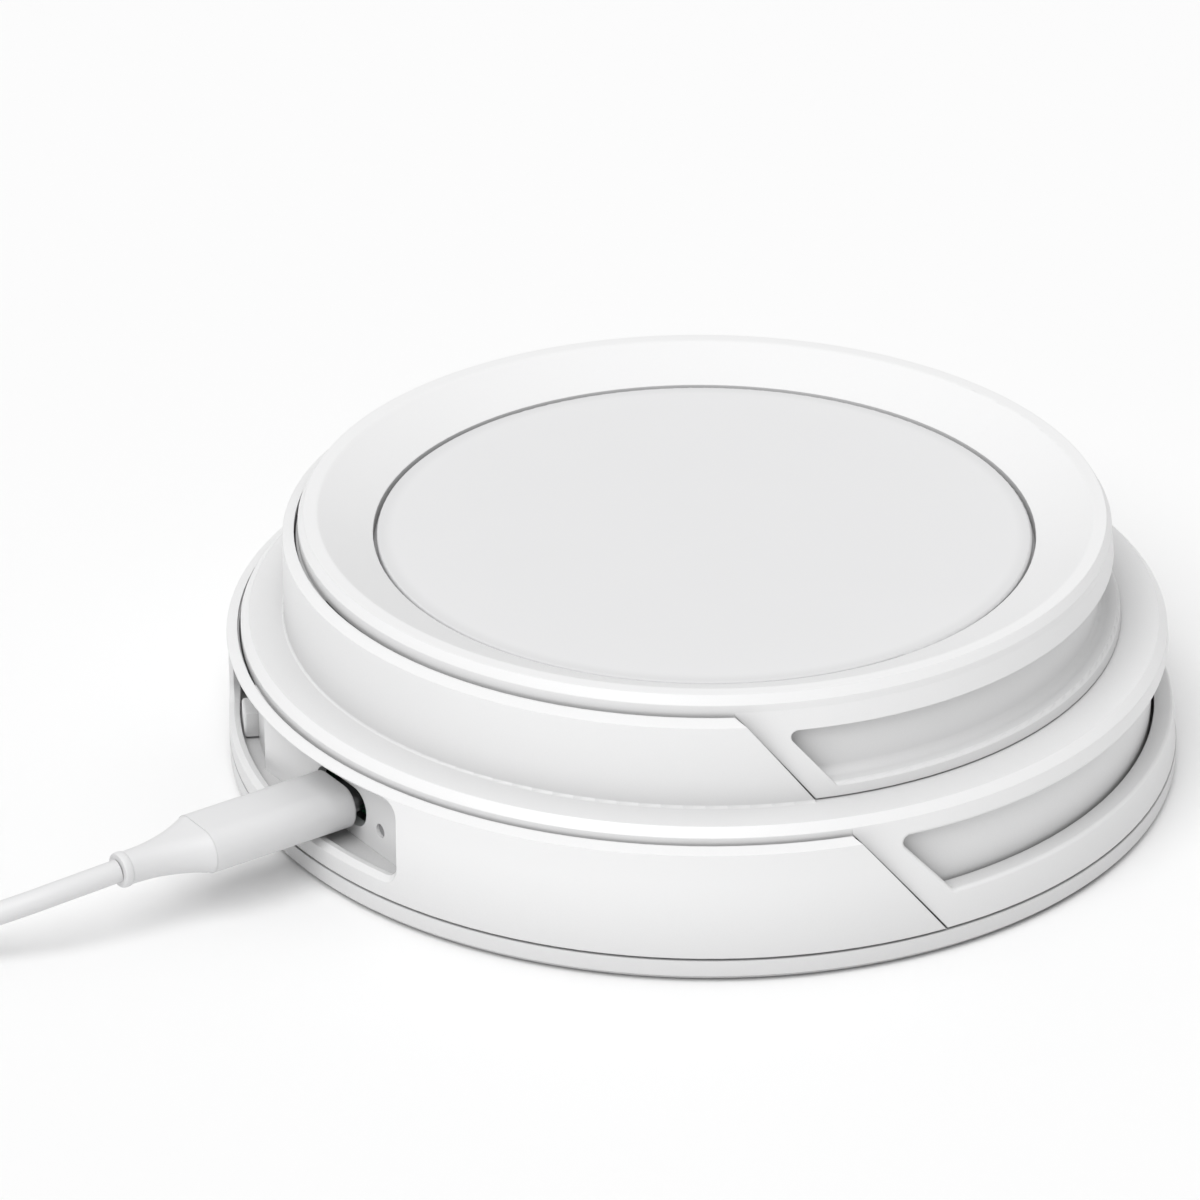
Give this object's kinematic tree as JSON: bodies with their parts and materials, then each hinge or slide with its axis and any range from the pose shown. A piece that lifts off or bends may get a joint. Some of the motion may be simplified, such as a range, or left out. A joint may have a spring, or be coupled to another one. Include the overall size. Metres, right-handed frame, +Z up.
{
  "type": "two-tier wireless charging hub",
  "caption": "Round white charging hub in two tiers whose lids tilt on rear hinges, with sunken charging pads and a USB-C lead",
  "frame": {"origin": "on the floor under the centre of the round body (bottom centre of its box, without the lead)", "axes": "+Z up; +X towards the finger recesses, -X towards the USB-C port and the hinges; +Y along the hinge axes"},
  "size_m": [0.2318, 0.1707, 0.039],
  "materials": {
    "shell_white": "satin-gloss moulded white plastic",
    "inlay": "matte pale grey soft-touch inlay",
    "foot_rubber": "matte grey rubber",
    "light_guide": "frosted clear plastic",
    "black_plastic": "matte black plastic",
    "steel": "plain steel",
    "bright_metal": "nickel-plated steel",
    "circuit_board": "green solder mask",
    "capacitor_metal": "bare aluminium cans",
    "ferrite": "dark sintered ferrite",
    "copper": "enamelled copper litz",
    "magnet": "nickel-plated magnets",
    "cord_white": "soft satin white jacket",
    "tie_white": "white strap"
  },
  "bodies": {
    "base": {"base_plate": "shell_white", "foot_ring": "foot_rubber", "base_housing": "shell_white", "port_panel": "shell_white", "status_light_pipe": "light_guide", "side_switch": "black_plastic", "ballast_plate": "steel", "main_board": "circuit_board", "board_screws": "steel", "power_chips": "black_plastic", "board_capacitors": "capacitor_metal", "board_inductors": "ferrite", "usb_c_receptacle": "bright_metal", "receptacle_tongue": "black_plastic", "base_screws": "steel", "lower_coil": "copper", "lower_ferrite": "ferrite", "lower_pad": "inlay", "lower_hinge_bracket": "bright_metal", "lower_hinge_pin": "steel", "lower_hinge_screws": "steel"},
    "button": {"side_button": "shell_white"},
    "lower_lid": {"lower_lid_shell": "shell_white", "lower_lid_plate": "shell_white", "middle_coil": "copper", "middle_ferrite": "ferrite", "middle_pad": "inlay", "lower_hinge_leaf": "bright_metal", "upper_hinge_bracket": "bright_metal", "upper_hinge_pin": "steel", "upper_hinge_screws": "steel", "lower_leaf_screws": "steel"},
    "upper_lid": {"upper_lid_shell": "shell_white", "upper_lid_plate": "shell_white", "upper_coil": "copper", "upper_ferrite": "ferrite", "upper_pad": "inlay", "magnet_ring": "magnet", "upper_hinge_leaf": "bright_metal", "upper_leaf_screws": "steel"},
    "plug": {"plug_shell": "bright_metal", "plug_overmold": "cord_white", "plug_strain_relief": "cord_white", "cord_run": "cord_white", "cord_coil": "cord_white", "cord_tail": "cord_white", "cord_tie": "tie_white", "far_strain_relief": "cord_white", "far_overmold": "cord_white", "far_plug_shell": "bright_metal"}
  },
  "joints": [
    {"name": "lower_lid_hinge", "type": "hinge", "parent": "base", "child": "lower_lid", "pos_m": [-0.0636, 0, 0.0208], "axis": [0, -1, 0], "range_deg": [0, 40]},
    {"name": "upper_lid_hinge", "type": "hinge", "parent": "lower_lid", "child": "upper_lid", "pos_m": [-0.055, 0, 0.0362], "axis": [0, -1, 0], "range_deg": [0, 45]},
    {"name": "button_press", "type": "slide", "parent": "base", "child": "button", "axis": [0.8829, -0.4695, 0], "range_m": [0, 0.0006], "stiffness_N_per_m": 400},
    {"name": "plug_pull", "type": "slide", "parent": "base", "child": "plug", "axis": [-1, 0, 0], "range_m": [0, 0.008]}
  ]
}
